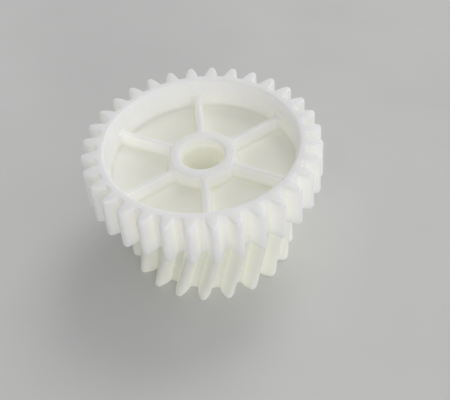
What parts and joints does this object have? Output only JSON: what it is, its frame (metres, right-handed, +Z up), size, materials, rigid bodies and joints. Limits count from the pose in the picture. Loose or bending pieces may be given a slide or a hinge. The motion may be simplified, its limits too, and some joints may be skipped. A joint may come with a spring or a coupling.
{
  "type": "compound reduction gear",
  "caption": "White plastic compound gear: a straight-cut spur wheel with a spoked, dished face above a helical pinion, on a plain through bore.",
  "frame": {"origin": "centre of the bore on the pinion's lower end face", "axes": "+Z up along the bore, from the pinion towards the spur wheel's dished face; one of the six spokes of each piece points along -Y"},
  "size_m": [0.0544, 0.0544, 0.0324],
  "materials": {
    "wheel_nylon": "semi-matt, slightly translucent natural white nylon",
    "pinion_nylon": "semi-matt, slightly translucent natural white nylon, faintly yellower than the wheel"
  },
  "bodies": {
    "root": {"spur_wheel": "wheel_nylon", "helical_pinion": "pinion_nylon"}
  },
  "joints": []
}
